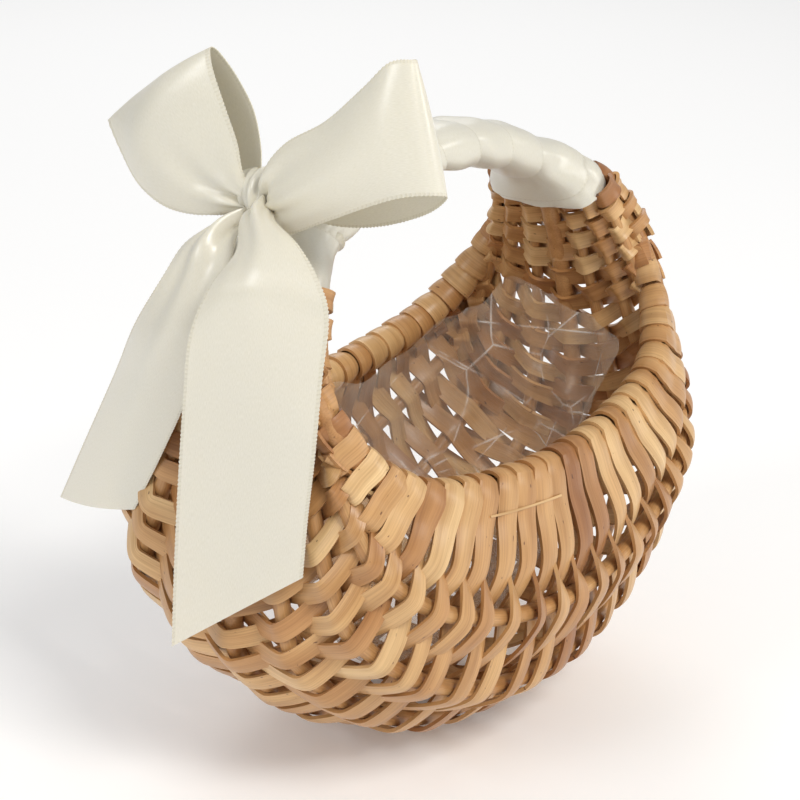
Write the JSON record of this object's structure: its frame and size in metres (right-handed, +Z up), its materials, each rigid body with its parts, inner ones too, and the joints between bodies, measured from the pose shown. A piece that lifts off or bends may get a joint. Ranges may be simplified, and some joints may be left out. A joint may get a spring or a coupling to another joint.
{
  "type": "flower girl basket",
  "caption": "Small boat-shaped willow basket with a ribbon-bound fixed handle, a satin bow and a clear film liner, carried by hand to hold flower petals.",
  "frame": {"origin": "on the floor, at the centre of the flat that the basket rests on", "axes": "+X along the basket and its handle, towards the end away from the bow; +Y across it, towards the back; +Z up"},
  "size_m": [0.1832, 0.141, 0.207],
  "materials": {
    "willow_strip": "peeled and steamed willow, satin",
    "willow_rod": "peeled willow rod, satin",
    "satin_ribbon": "ivory satin ribbon",
    "clear_film": "crumpled clear film, glossy"
  },
  "bodies": {
    "basket": {"hoop_rod": "willow_rod", "handle_wrap": "satin_ribbon", "handle_side_rod_front": "willow_rod", "handle_side_rod_back": "willow_rod", "rim_rod_front": "willow_rod", "rim_rod_back": "willow_rod", "rim_wrap_front": "willow_strip", "rim_wrap_back": "willow_strip", "rib_front_1": "willow_rod", "rib_front_2": "willow_rod", "rib_front_3": "willow_rod", "rib_back_1": "willow_rod", "rib_back_2": "willow_rod", "rib_back_3": "willow_rod", "weave_front_near_end": "willow_strip", "weave_front_near_side": "willow_strip", "weave_front_middle": "willow_strip", "weave_front_far_side": "willow_strip", "weave_front_far_end": "willow_strip", "weave_back_near_end": "willow_strip", "weave_back_near_side": "willow_strip", "weave_back_middle": "willow_strip", "weave_back_far_side": "willow_strip", "weave_back_far_end": "willow_strip", "handle_binding_near": "satin_ribbon", "handle_binding_far": "satin_ribbon", "bow_strap": "satin_ribbon", "bow_knot": "satin_ribbon", "bow_loop_left": "satin_ribbon", "bow_loop_right": "satin_ribbon"},
    "liner": {"film_liner": "clear_film"},
    "tail_front": {"bow_tail_front": "satin_ribbon"},
    "tail_back": {"bow_tail_back": "satin_ribbon"}
  },
  "joints": [
    {"name": "liner_lift", "type": "slide", "parent": "basket", "child": "liner", "axis": [0, 0, 1], "range_m": [0, 0.02]},
    {"name": "tail_front_swing", "type": "hinge", "parent": "basket", "child": "tail_front", "pos_m": [-0.0725, -0.009, 0.1515], "axis": [-0.259, 0.9659, 0], "range_deg": [0, 60]},
    {"name": "tail_back_swing", "type": "hinge", "parent": "basket", "child": "tail_back", "pos_m": [-0.071, 0.004, 0.1495], "axis": [0.9945, -0.1045, 0], "range_deg": [0, 45]}
  ]
}
